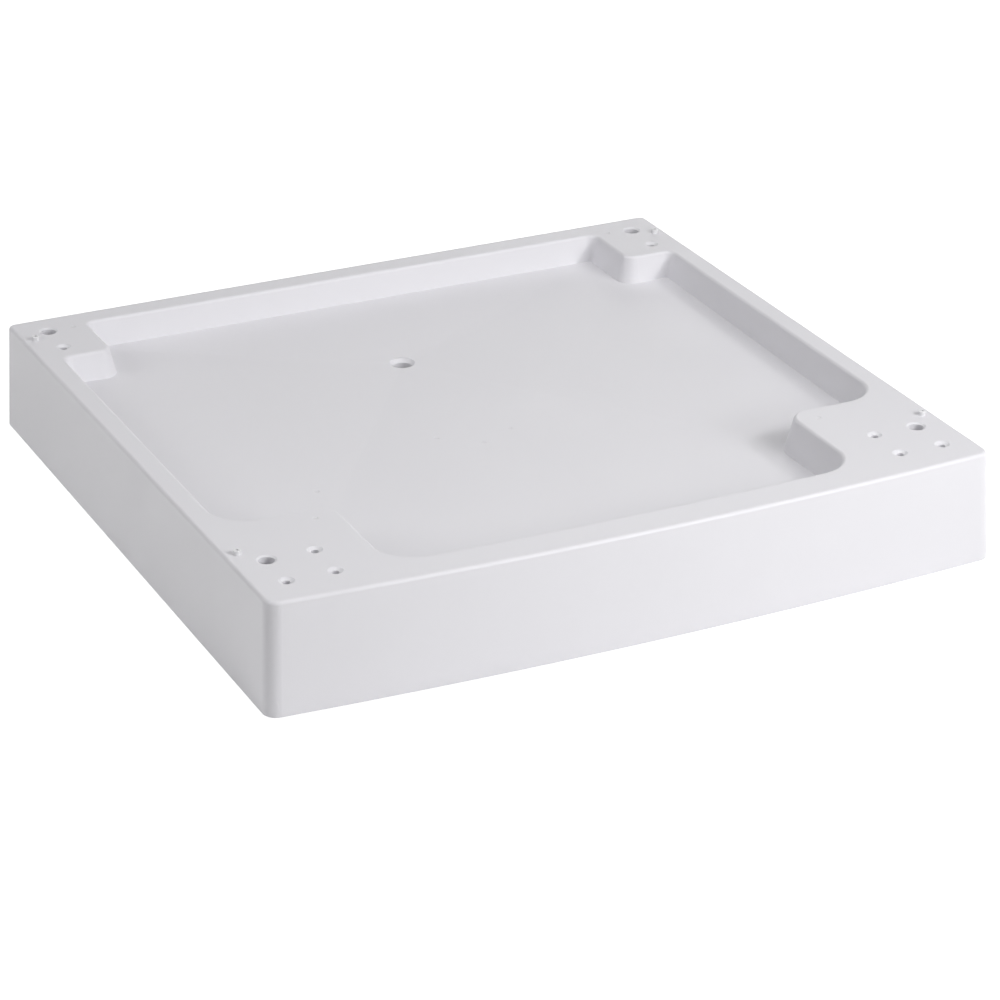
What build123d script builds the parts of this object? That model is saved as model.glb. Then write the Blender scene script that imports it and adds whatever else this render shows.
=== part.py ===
from build123d import *
import os
from math import radians, tan

# A low moulded stand that lifts a washing machine off the floor and catches its drips.
# X runs left to right, Y front to back and Z up, with the floor at zero.

# Overall sizes
BASE_WIDTH = 600.0      # skirt's foot, side to side
BASE_DEPTH = 586.0      # skirt's foot, front to back, with the bow of the front face
HEIGHT = 90.0           # floor to the pads on which the machine stands
SKIRT_GAP = 1.5         # skirt's foot above the floor
FRONT_BOW = 10.9        # swell of the front face at its middle
DRAFT = 2.56            # degrees, the skirt widens downwards
FRONT_CORNER = 11.0     # radius of the upright corners at the front
BACK_CORNER = 6.0
EDGE_RADIUS = 3.0       # around the deck's outer edge
LIP_RADIUS = 3.0        # where the deck rolls into the pocket
WALL = 3.5

# Drip pocket, measured on the deck
SIDE_RIM = 18.0
BACK_RIM = 22.4
FRONT_RIM = 30.0
FRONT_PAD = (103.5, 130.7)
BACK_PAD = (60.2, 86.0)
FRONT_FREE = 16.0       # radius of a front pad's free corner
BACK_FREE = 9.0
FRONT_HOLLOW = 31.0     # where a front pad runs into the rim
BACK_HOLLOW = 8.5       # where a back pad runs into the rim
BACK_DEPTH = 22.5       # at the foot of the back wall
FRONT_DEPTH = 27.0      # at the foot of the front wall
POCKET_DRAFT = 14.0     # degrees

# Drain, the low point of the pocket's floor
DRAIN = (-6.0, 140.5)
DRAIN_DEPTH = 31.0
DRAIN_RADIUS = 8.0
DRAIN_RIM_RADIUS = 10.5
DRAIN_COLLAR = (12.0, 14.0)     # outer radius and length below the floor
DRAIN_CLEARANCE = 25.0  # radius under the drain that the ribs leave free for a hose

# Holes in the pads: a square of one wide and three narrow holes at the front, a pair at the back
HOLE_SIDE = 26.1        # from the deck's side edge
HOLE_END = 28.4         # from the deck's front corner or back edge to the nearest row
HOLE_PITCH = 37.2
HOLE_DISH = 120.0       # degrees, the shallow dish round each hole
WIDE_RADIUS = 6.0
WIDE_RIM_RADIUS = 7.8
WIDE_BOSS = (8.5, 26.0)
NARROW_RADIUS = 3.0
NARROW_RIM_RADIUS = 6.0
NARROW_DEPTH = 15.0
NARROW_BOSS = (6.5, 20.0)

# Locating pegs, one near each pad's outer edge
PEG_SIDE = 10.4
PEG_FRONT = 82.6
PEG_BACK = 42.1
PEG_RADIUS = 3.0
PEG_RISE = 3.5
PEG_CHAMFER = 0.4
PEG_BORE = (1.3, 2.5)
PEG_SEAT = 9.0
PEG_BOSS = (5.0, 14.0)

# Underside
RIB = 3.0
RIB_PITCH = 72.0
RIBS_EACH_WAY = 7
RIB_FOOT = 12.0         # ribs stop this far above the floor
TOWER_INSET = 42.0      # tower's centre from the deck's side edge, clear of the back pads' walls
TOWER_RADIUS = 15.0
TOWER_BORE = 11.5
TOWER_FOOT = 4.0

# Rubber feet, plugged into the towers
FOOT_RADIUS = 20.0
FOOT_CHAMFER = 1.0
PLUG_LENGTH = 12.0
PLUG_WALL = 3.0

# Places that follow from the sizes above
skirt_height = HEIGHT - SKIRT_GAP
top_inset = skirt_height * tan(radians(DRAFT))
base_back = BASE_DEPTH / 2
base_front = FRONT_BOW - BASE_DEPTH / 2
deck_x = BASE_WIDTH / 2 - top_inset
deck_back = base_back - top_inset
deck_front = base_front + top_inset
hole_x = deck_x - HOLE_SIDE
front_near = deck_front + HOLE_END
front_far = front_near + HOLE_PITCH
back_far = deck_back - HOLE_END
back_near = back_far - HOLE_PITCH
tower_x = deck_x - TOWER_INSET
tower_y = (front_near + HOLE_PITCH / 2, back_far - HOLE_PITCH / 2)
wide_spots = [(x, y) for x in (-hole_x, hole_x) for y in (front_far, back_far)]
narrow_spots = [(x, y) for x in (-hole_x, hole_x) for y in (front_near, back_near)]
narrow_spots += [(side * (hole_x - HOLE_PITCH), y) for side in (-1, 1) for y in (front_near, front_far)]
tower_spots = {
    "front_left": (-tower_x, tower_y[0]),
    "front_right": (tower_x, tower_y[0]),
    "back_left": (-tower_x, tower_y[1]),
    "back_right": (tower_x, tower_y[1]),
}
peg_x = deck_x - PEG_SIDE
peg_spots = {
    "front_left": (-peg_x, deck_front + PEG_FRONT),
    "front_right": (peg_x, deck_front + PEG_FRONT),
    "back_left": (-peg_x, deck_back - PEG_BACK),
    "back_right": (peg_x, deck_back - PEG_BACK),
}


def skirt_block(inset, height):
    """The skirt's form, drawn in by inset: three straight sides, a bowed front and rounded corners."""
    x = BASE_WIDTH / 2 - inset
    back = base_back - inset
    front = base_front + inset
    with BuildPart() as block:
        with BuildSketch(Plane.XY.offset(SKIRT_GAP)):
            with BuildLine():
                Polyline((x, front), (x, back), (-x, back), (-x, front))
                ThreePointArc((-x, front), (0, front - FRONT_BOW), (x, front))
            make_face()
        extrude(amount=height, taper=DRAFT)
        for side, radius in ((-1, FRONT_CORNER), (1, BACK_CORNER)):
            uprights = block.edges().filter_by(lambda e: e.bounding_box().size.Z > height / 2)
            fillet(uprights.filter_by(lambda e: side * e.center().Y > 0), radius - inset)
    return block.part


def pocket_outline(grow):
    """The pocket's mouth, let out by grow: a rectangle with a pad standing in each corner."""
    rim_x = deck_x - SIDE_RIM + grow
    back = deck_back - BACK_RIM + grow
    front_x, front_y = deck_x - FRONT_PAD[0] + grow, deck_front + FRONT_PAD[1] - grow
    back_x, back_y = deck_x - BACK_PAD[0] + grow, deck_back - BACK_PAD[1] + grow
    middle = deck_front - FRONT_BOW + FRONT_RIM - grow
    end = middle + FRONT_BOW * (front_x / deck_x) ** 2
    with BuildSketch() as mouth:
        with BuildLine():
            Polyline(
                (front_x, end), (front_x, front_y), (rim_x, front_y), (rim_x, back_y),
                (back_x, back_y), (back_x, back), (-back_x, back), (-back_x, back_y),
                (-rim_x, back_y), (-rim_x, front_y), (-front_x, front_y), (-front_x, end),
            )
            ThreePointArc((-front_x, end), (0, middle), (front_x, end))
        make_face()
        for spots, radius in (
            ([(front_x, front_y)], FRONT_FREE - grow),
            ([(back_x, back_y)], BACK_FREE - grow),
            ([(rim_x, front_y), (front_x, end)], FRONT_HOLLOW + grow),
            ([(rim_x, back_y), (back_x, back)], BACK_HOLLOW + grow),
        ):
            corners = mouth.vertices().filter_by(lambda v: (round(abs(v.X), 3), round(v.Y, 3)) in [
                (round(x, 3), round(y, 3)) for x, y in spots
            ])
            fillet(corners, radius)
    return mouth.sketch


def fall_space(sink):
    """All the space above the pocket's floor, whose four flat facets fall to the drain."""
    low = Vector(*DRAIN, HEIGHT - sink - DRAIN_DEPTH)
    back_x = deck_x - BACK_PAD[0]
    back_y = deck_back - BACK_RIM - BACK_DEPTH * tan(radians(POCKET_DRAFT))
    front_foot = FRONT_DEPTH * tan(radians(POCKET_DRAFT))
    front_x = deck_x - SIDE_RIM - front_foot
    front_y = deck_front - FRONT_BOW + FRONT_RIM + front_foot
    corners = [
        Vector(-back_x, back_y, HEIGHT - sink - BACK_DEPTH),
        Vector(back_x, back_y, HEIGHT - sink - BACK_DEPTH),
        Vector(front_x, front_y, HEIGHT - sink - FRONT_DEPTH),
        Vector(-front_x, front_y, HEIGHT - sink - FRONT_DEPTH),
    ]
    with BuildPart() as space:
        Box(2 * BASE_WIDTH, 2 * BASE_DEPTH, 4 * HEIGHT)
        for start, end in zip(corners, corners[1:] + corners[:1]):
            upward = (end - low).cross(start - low)
            with BuildSketch(Plane(low, x_dir=end - start, z_dir=upward)):
                Rectangle(3 * BASE_WIDTH, 3 * BASE_DEPTH)
            extrude(amount=2 * HEIGHT, mode=Mode.INTERSECT)
    return space.part


def pocket_space(grow, sink):
    """The pocket from its mouth to its falling floor, let out by a wall for the skin below it."""
    with BuildPart() as pocket:
        with BuildSketch(Plane.XY.offset(HEIGHT)):
            add(pocket_outline(grow))
        extrude(amount=-(DRAIN_DEPTH + sink + 1), taper=POCKET_DRAFT)
        add(fall_space(sink), mode=Mode.INTERSECT)
    return pocket.part


# Ribs under the deck, a square lattice trimmed to the inside of the skirt and clear of the drain
with BuildPart() as ribs:
    with BuildSketch(Plane.XY.offset(RIB_FOOT)):
        with GridLocations(RIB_PITCH, 0, RIBS_EACH_WAY, 1):
            Rectangle(RIB, BASE_DEPTH)
        with GridLocations(0, RIB_PITCH, 1, RIBS_EACH_WAY):
            Rectangle(BASE_WIDTH, RIB)
        with Locations(DRAIN):
            Circle(DRAIN_CLEARANCE, mode=Mode.SUBTRACT)
    extrude(amount=HEIGHT - WALL / 2 - RIB_FOOT)
    add(skirt_block(WALL / 2, skirt_height), mode=Mode.INTERSECT)

# Tray: one moulding of skirt, deck, pocket, pads, ribs, bosses and towers
with BuildPart() as tray:
    add(skirt_block(0, skirt_height))
    fillet(faces().sort_by(Axis.Z)[-1].edges(), EDGE_RADIUS)
    add(skirt_block(WALL, skirt_height - WALL), mode=Mode.SUBTRACT)
    add(ribs.part)
    add(pocket_space(WALL, WALL))
    with BuildSketch(Plane.XY.offset(TOWER_FOOT)):
        with Locations(*tower_spots.values()):
            Circle(TOWER_RADIUS)
    extrude(amount=HEIGHT - WALL - TOWER_FOOT)
    for spots, (radius, length) in (
        (wide_spots, WIDE_BOSS),
        (narrow_spots, NARROW_BOSS),
        (peg_spots.values(), PEG_BOSS),
        ([DRAIN], (DRAIN_COLLAR[0], DRAIN_DEPTH + DRAIN_COLLAR[1])),
    ):
        with BuildSketch(Plane.XY.offset(HEIGHT - WALL - length)):
            with Locations(*spots):
                Circle(radius)
        extrude(amount=length)
    with BuildSketch(Plane.XY.offset(TOWER_FOOT)):
        with Locations(*tower_spots.values()):
            Circle(TOWER_BORE)
    extrude(amount=HEIGHT - WALL - TOWER_FOOT, mode=Mode.SUBTRACT)
    add(pocket_space(0, 0), mode=Mode.SUBTRACT)
    deck = faces().filter_by(Axis.Z).sort_by(Axis.Z)[-1]
    fillet(deck.inner_wires()[0].edges(), LIP_RADIUS)
    with Locations(*[(x, y, HEIGHT) for x, y in wide_spots]):
        CounterSinkHole(WIDE_RADIUS, WIDE_RIM_RADIUS, WALL + WIDE_BOSS[1], HOLE_DISH)
    with Locations(*[(x, y, HEIGHT) for x, y in narrow_spots]):
        CounterSinkHole(NARROW_RADIUS, NARROW_RIM_RADIUS, NARROW_DEPTH, HOLE_DISH)
    with Locations((*DRAIN, HEIGHT - DRAIN_DEPTH)):
        CounterSinkHole(DRAIN_RADIUS, DRAIN_RIM_RADIUS, depth=DRAIN_COLLAR[1] + WALL)
    with Locations(*[(x, y, HEIGHT) for x, y in peg_spots.values()]):
        Hole(PEG_RADIUS, depth=PEG_SEAT)
tray.part.label = "tray"

os.makedirs("parts", exist_ok=True)
export_step(tray.part, "parts/tray.step")

# Locating pegs: a straight dowel with a blind bore in its head, pressed into the deck
for corner, spot in peg_spots.items():
    with BuildPart() as peg:
        with BuildSketch(Plane.XY.offset(HEIGHT - PEG_SEAT)):
            with Locations(spot):
                Circle(PEG_RADIUS)
        extrude(amount=PEG_SEAT + PEG_RISE)
        chamfer(faces().sort_by(Axis.Z)[-1].edges(), PEG_CHAMFER)
        with Locations((*spot, HEIGHT + PEG_RISE)):
            Hole(PEG_BORE[0], depth=PEG_BORE[1])
    peg.part.label = f"{corner}_peg"
    export_step(peg.part, f"parts/{corner}_peg.step")

# Rubber feet: a flat pad under each tower, held by a hollow plug in the tower's bore
for corner, spot in tower_spots.items():
    with BuildPart() as foot:
        with BuildSketch():
            with Locations(spot):
                Circle(FOOT_RADIUS)
        extrude(amount=TOWER_FOOT)
        chamfer(faces().sort_by(Axis.Z)[0].edges(), FOOT_CHAMFER)
        with BuildSketch(Plane.XY.offset(TOWER_FOOT)):
            with Locations(spot):
                Circle(TOWER_BORE)
                Circle(TOWER_BORE - PLUG_WALL, mode=Mode.SUBTRACT)
        extrude(amount=PLUG_LENGTH)
    foot.part.label = f"{corner}_foot"
    export_step(foot.part, f"parts/{corner}_foot.step")
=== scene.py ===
import bmesh
import bpy
from math import cos, radians, sin
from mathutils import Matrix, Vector

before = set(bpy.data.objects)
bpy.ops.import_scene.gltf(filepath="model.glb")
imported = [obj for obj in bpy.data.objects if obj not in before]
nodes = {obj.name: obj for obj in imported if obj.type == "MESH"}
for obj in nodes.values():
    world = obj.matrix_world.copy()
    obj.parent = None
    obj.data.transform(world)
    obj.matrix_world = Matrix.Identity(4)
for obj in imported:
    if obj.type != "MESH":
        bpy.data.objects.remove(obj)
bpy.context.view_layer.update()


# Tray: one injection moulding of white polypropylene, with its skirt, pocket, pads and ribs in
# one shot. The mould's faces are spark-eroded to a fine satin grain, and the plastic cooled
# unevenly over the ribs, which leaves a faint clouding on the broad faces.
def linear(hex_colour):
    """A colour written as sRGB hex, as the linear numbers that a shader takes."""
    parts = [int(hex_colour[i:i + 2], 16) / 255 for i in (1, 3, 5)]
    return [p / 12.92 if p <= 0.04045 else ((p + 0.055) / 1.055) ** 2.4 for p in parts] + [1.0]


def add_node(tree, kind, inputs, **settings):
    """Adds one node, sets it and joins or fills its inputs."""
    node = tree.nodes.new(kind)
    for name, value in settings.items():
        setattr(node, name, value)
    for socket, value in inputs.items():
        if isinstance(value, bpy.types.NodeSocket):
            tree.links.new(value, node.inputs[socket])
        else:
            node.inputs[socket].default_value = value
    return node


# A colour Mix node's sockets, by place, since their names are shared with its other kinds
COLOUR_A = 6
COLOUR_B = 7
COLOUR_OUT = 2

# How far the gloss wanders, and how deep clouding and grain mark the surface, in metres
GLOSS_SPREAD = 0.04
SINK_DEPTH = 0.00012
GRAIN_DEPTH = 0.00003


def moulded_plastic(name, shade, light, gloss, grain_mm, cloud_mm):
    """White polypropylene off a mould: soft gloss, fine grain and faint flow clouding."""
    material = bpy.data.materials.new(name)
    material.use_nodes = True
    tree = material.node_tree
    place = add_node(tree, "ShaderNodeTexCoord", {}).outputs["Object"]
    flow = add_node(tree, "ShaderNodeTexNoise", {
        "Vector": place, "Scale": 1000 / cloud_mm, "Detail": 3.0, "Roughness": 0.45, "Distortion": 0.6,
    })
    tint = add_node(tree, "ShaderNodeMix", {
        "Factor": flow.outputs["Fac"], COLOUR_A: linear(shade), COLOUR_B: linear(light),
    }, data_type="RGBA")
    grain = add_node(tree, "ShaderNodeTexNoise", {
        "Vector": place, "Scale": 1000 / grain_mm, "Detail": 2.0, "Roughness": 0.5,
    })
    polish = add_node(tree, "ShaderNodeMapRange", {
        "Value": flow.outputs["Fac"], "From Min": 0.3, "From Max": 0.7,
        "To Min": gloss - GLOSS_SPREAD, "To Max": gloss + GLOSS_SPREAD,
    })
    sink = add_node(tree, "ShaderNodeBump", {
        "Height": flow.outputs["Fac"], "Strength": 1.0, "Distance": SINK_DEPTH,
    })
    relief = add_node(tree, "ShaderNodeBump", {
        "Height": grain.outputs["Fac"], "Normal": sink.outputs["Normal"],
        "Strength": 1.0, "Distance": GRAIN_DEPTH,
    })
    shader = tree.nodes["Principled BSDF"]
    tree.links.new(tint.outputs[COLOUR_OUT], shader.inputs["Base Color"])
    tree.links.new(polish.outputs["Result"], shader.inputs["Roughness"])
    tree.links.new(relief.outputs["Normal"], shader.inputs["Normal"])
    shader.inputs["IOR"].default_value = 1.49
    return material


def press_marks(material, marks, radius, depth):
    """Adds small round dents to a material's relief, at places given across the stand."""
    tree = material.node_tree
    normal = tree.nodes["Principled BSDF"].inputs["Normal"]
    place = add_node(tree, "ShaderNodeTexCoord", {}).outputs["Object"]
    flat = add_node(tree, "ShaderNodeVectorMath", {
        0: place, 1: (1.0, 1.0, 0.0),
    }, operation="MULTIPLY")
    height = 0.0
    for x, y in marks:
        away = add_node(tree, "ShaderNodeVectorMath", {
            0: flat.outputs["Vector"], 1: (x, y, 0.0),
        }, operation="DISTANCE")
        dot = add_node(tree, "ShaderNodeMapRange", {
            "Value": away.outputs["Value"], "From Min": 0.4 * radius, "From Max": radius,
            "To Min": 1.0, "To Max": 0.0,
        }, interpolation_type="SMOOTHSTEP")
        highest = add_node(tree, "ShaderNodeMath", {
            0: height, 1: dot.outputs["Result"],
        }, operation="MAXIMUM")
        height = highest.outputs[0]
    dents = add_node(tree, "ShaderNodeBump", {
        "Height": height, "Normal": normal.links[0].from_socket, "Strength": 1.0, "Distance": depth,
    }, invert=True)
    tree.links.new(dents.outputs["Normal"], normal)


def finish_node(name, material):
    """Gives a node of the frame its finish."""
    mesh = nodes[name].data
    mesh.materials.clear()
    mesh.materials.append(material)


# Satin moulding: what the eye gets is a soft sheen over a faintly bluish white, a little uneven.
# The real grain is a tenth of a millimetre and wouldn't show: it is drawn at 1.4 mm. The clouding
# is 55 mm wide.
tray_plastic = moulded_plastic("satin moulded polypropylene", "#E4E3E7", "#E6E5E9", 0.42, 1.4, 55.0)

# Where the mould's ejector pins pressed into the warm plastic, one on each pad and four on the
# floor: x and y in metres, and the size of each mark
PIN_MARKS = [
    (-0.2118, -0.1643), (0.2106, -0.1655), (-0.2481, 0.2616), (0.2481, 0.2644),
    (-0.0155, -0.0370), (-0.1698, -0.0663), (-0.0454, -0.0129), (0.0151, -0.0206),
]
PIN_RADIUS = 0.0026
PIN_DEPTH = 0.0005
press_marks(tray_plastic, PIN_MARKS, PIN_RADIUS, PIN_DEPTH)
finish_node("tray", tray_plastic)


# Locating pegs: small moulded stubs of the same white plastic, off a polished tool, pressed into
# the pads beside the outer edges. They are glossier than the tray, and their colour is painted a
# shade lighter than the tray's: a painted highlight for the light that the small stubs catch. Their
# grain is drawn at 0.9 mm so that it shows.
painted_lighter_peg_plastic = moulded_plastic("polished moulded polypropylene", "#E6E6E8", "#EDEDEF", 0.3, 0.9, 8.0)
corners = [f"{end}_{side}" for end in ("front", "back") for side in ("left", "right")]
for corner in corners:
    finish_node(f"{corner}_peg", painted_lighter_peg_plastic)


# Rubber feet: compression-moulded dark rubber, matt with a dusty bloom, pushed into the towers
# under the corners. The eye gets a dull near-black with paler patches and small pores.
BLOOM_MM = 6.0
PORE_DEPTH = 0.0001
rubber = bpy.data.materials.new("compression-moulded rubber")
rubber.use_nodes = True
rubber_tree = rubber.node_tree
rubber_place = add_node(rubber_tree, "ShaderNodeTexCoord", {}).outputs["Object"]
bloom = add_node(rubber_tree, "ShaderNodeTexNoise", {
    "Vector": rubber_place, "Scale": 1000 / BLOOM_MM, "Detail": 4.0, "Roughness": 0.6,
})
rubber_tint = add_node(rubber_tree, "ShaderNodeMix", {
    "Factor": bloom.outputs["Fac"], COLOUR_A: linear("#262628"), COLOUR_B: linear("#3A3A3C"),
}, data_type="RGBA")
pores = add_node(rubber_tree, "ShaderNodeBump", {
    "Height": bloom.outputs["Fac"], "Strength": 0.6, "Distance": PORE_DEPTH,
})
rubber_shader = rubber_tree.nodes["Principled BSDF"]
rubber_tree.links.new(rubber_tint.outputs[COLOUR_OUT], rubber_shader.inputs["Base Color"])
rubber_tree.links.new(pores.outputs["Normal"], rubber_shader.inputs["Normal"])
rubber_shader.inputs["Roughness"].default_value = 0.75
for corner in corners:
    finish_node(f"{corner}_foot", rubber)


# Floor: a sheet of white paper under the stand, 4.8 m square. To the camera and in reflections it
# glows white, and otherwise it lights the stand's sides from below and keeps its shadow.
FLOOR_REACH = 2.4
PAPER_GLOW = 0.9


def watched_rays(tree):
    """1 for rays from the camera and for those that reflect or pass through, 0 for all others."""
    path = add_node(tree, "ShaderNodeLightPath", {})
    mirrored = add_node(tree, "ShaderNodeMath", {
        0: path.outputs["Is Glossy Ray"], 1: path.outputs["Is Transmission Ray"],
    }, operation="MAXIMUM")
    watched = add_node(tree, "ShaderNodeMath", {
        0: path.outputs["Is Camera Ray"], 1: mirrored.outputs[0],
    }, operation="MAXIMUM")
    return watched.outputs[0]


floor_form = bmesh.new()
bmesh.ops.create_grid(floor_form, x_segments=1, y_segments=1, size=FLOOR_REACH)
floor_mesh = bpy.data.meshes.new("floor")
floor_form.to_mesh(floor_mesh)
floor_form.free()
floor = bpy.data.objects.new("floor", floor_mesh)
bpy.context.scene.collection.objects.link(floor)
paper = bpy.data.materials.new("white paper")
paper.use_nodes = True
paper_tree = paper.node_tree
paper_tree.nodes.clear()
strength = add_node(paper_tree, "ShaderNodeMath", {
    0: watched_rays(paper_tree), 1: PAPER_GLOW,
}, operation="MULTIPLY")
sheet = add_node(paper_tree, "ShaderNodeBsdfDiffuse", {"Color": linear("#E9E9E9")})
glow = add_node(paper_tree, "ShaderNodeEmission", {
    "Color": linear("#FFFFFF"), "Strength": strength.outputs[0],
})
both = add_node(paper_tree, "ShaderNodeAddShader", {0: sheet.outputs[0], 1: glow.outputs[0]})
add_node(paper_tree, "ShaderNodeOutputMaterial", {"Surface": both.outputs[0]})
floor_mesh.materials.append(paper)


# Studio: a pure white surround for the camera and for reflections, which lights nothing else, and
# soft boxes round the stand, the strongest in front, at the left and overhead.
world = bpy.data.worlds.new("studio")
bpy.context.scene.world = world
world.use_nodes = True
world_tree = world.node_tree
world_tree.nodes.clear()
surround = add_node(world_tree, "ShaderNodeBackground", {
    "Color": linear("#FFFFFF"), "Strength": watched_rays(world_tree),
})
add_node(world_tree, "ShaderNodeOutputWorld", {"Surface": surround.outputs[0]})

# Each soft box: its bearing from the front towards the right and its height, in degrees, its
# distance and width in metres, and its power in watts
SOFT_BOXES = {
    "top_box": (0.0, 89.0, 2.6, 1.4, 16.5),
    "key_box": (45.0, 35.0, 2.6, 0.3, 10.5),
    "broad_key_box": (45.0, 50.0, 2.6, 1.1, 4.6),
    "front_box": (25.0, 35.0, 2.6, 0.5, 10.6),
    "low_front_box": (25.0, 20.0, 2.6, 0.5, 14.1),
    "near_front_box": (20.0, 40.0, 1.5, 0.6, 2.7),
    "near_left_box": (-60.0, 20.0, 2.6, 0.5, 1.3),
    "left_box": (-90.0, 30.0, 2.6, 1.1, 12.8),
    "far_left_box": (-120.0, 35.0, 2.6, 0.5, 1.2),
    "back_left_box": (-135.0, 30.0, 2.6, 1.1, 2.6),
    "high_back_box": (-170.0, 55.0, 2.6, 0.5, 2.4),
    "back_right_box": (150.0, 20.0, 2.6, 0.5, 1.1),
}
for name, (bearing, height, distance, width, power) in SOFT_BOXES.items():
    lamp = bpy.data.lights.new(name, "AREA")
    lamp.shape = "SQUARE"
    lamp.size = width
    lamp.energy = power
    box = bpy.data.objects.new(name, lamp)
    away = Vector((
        sin(radians(bearing)) * cos(radians(height)),
        -cos(radians(bearing)) * cos(radians(height)),
        sin(radians(height)),
    ))
    box.location = distance * away
    box.rotation_euler = away.to_track_quat("Z", "Y").to_euler()
    bpy.context.scene.collection.objects.link(box)


# Camera: in front of the stand's near left corner and above it, with a long lens.
AIM = Vector((-0.0773, -0.1946, 0.0900))
BEARING = 25.656
ELEVATION = 25.088
DISTANCE = 2.5708
FOCAL_LENGTH = 125.70
SENSOR_WIDTH = 36.0
lens = bpy.data.cameras.new("camera")
lens.lens = FOCAL_LENGTH
lens.sensor_width = SENSOR_WIDTH
camera = bpy.data.objects.new("camera", lens)
back = Vector((
    -sin(radians(BEARING)) * cos(radians(ELEVATION)),
    -cos(radians(BEARING)) * cos(radians(ELEVATION)),
    sin(radians(ELEVATION)),
))
camera.location = AIM + DISTANCE * back
camera.rotation_euler = (radians(90 - ELEVATION), 0.0, -radians(BEARING))
bpy.context.scene.collection.objects.link(camera)
bpy.context.scene.camera = camera
bpy.context.scene.view_settings.view_transform = "Standard"
